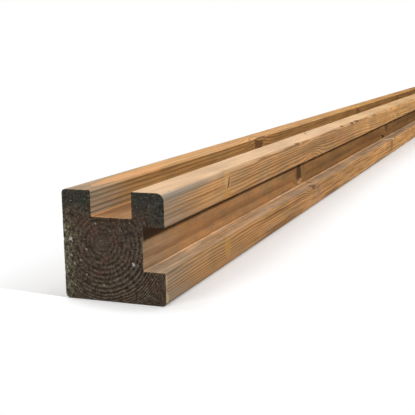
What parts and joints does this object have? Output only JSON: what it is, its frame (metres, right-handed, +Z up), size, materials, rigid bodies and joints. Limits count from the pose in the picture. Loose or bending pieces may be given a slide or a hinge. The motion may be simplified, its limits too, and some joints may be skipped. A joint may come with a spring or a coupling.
{
  "type": "slotted fence post",
  "caption": "Square planed timber corner post lying on its side, with a full-length panel slot in its top face and another in the adjoining side face.",
  "frame": {"origin": "middle of the plain face the post lies on", "axes": "+Y along the post from the near sawn end to the far one, +Z up out of the top slot, +X out of the side slot"},
  "size_m": [0.095, 2.1, 0.095],
  "materials": {
    "timber": "planed and pressure treated, ends sawn"
  },
  "bodies": {
    "root": {"slotted_post": "timber"}
  },
  "joints": []
}
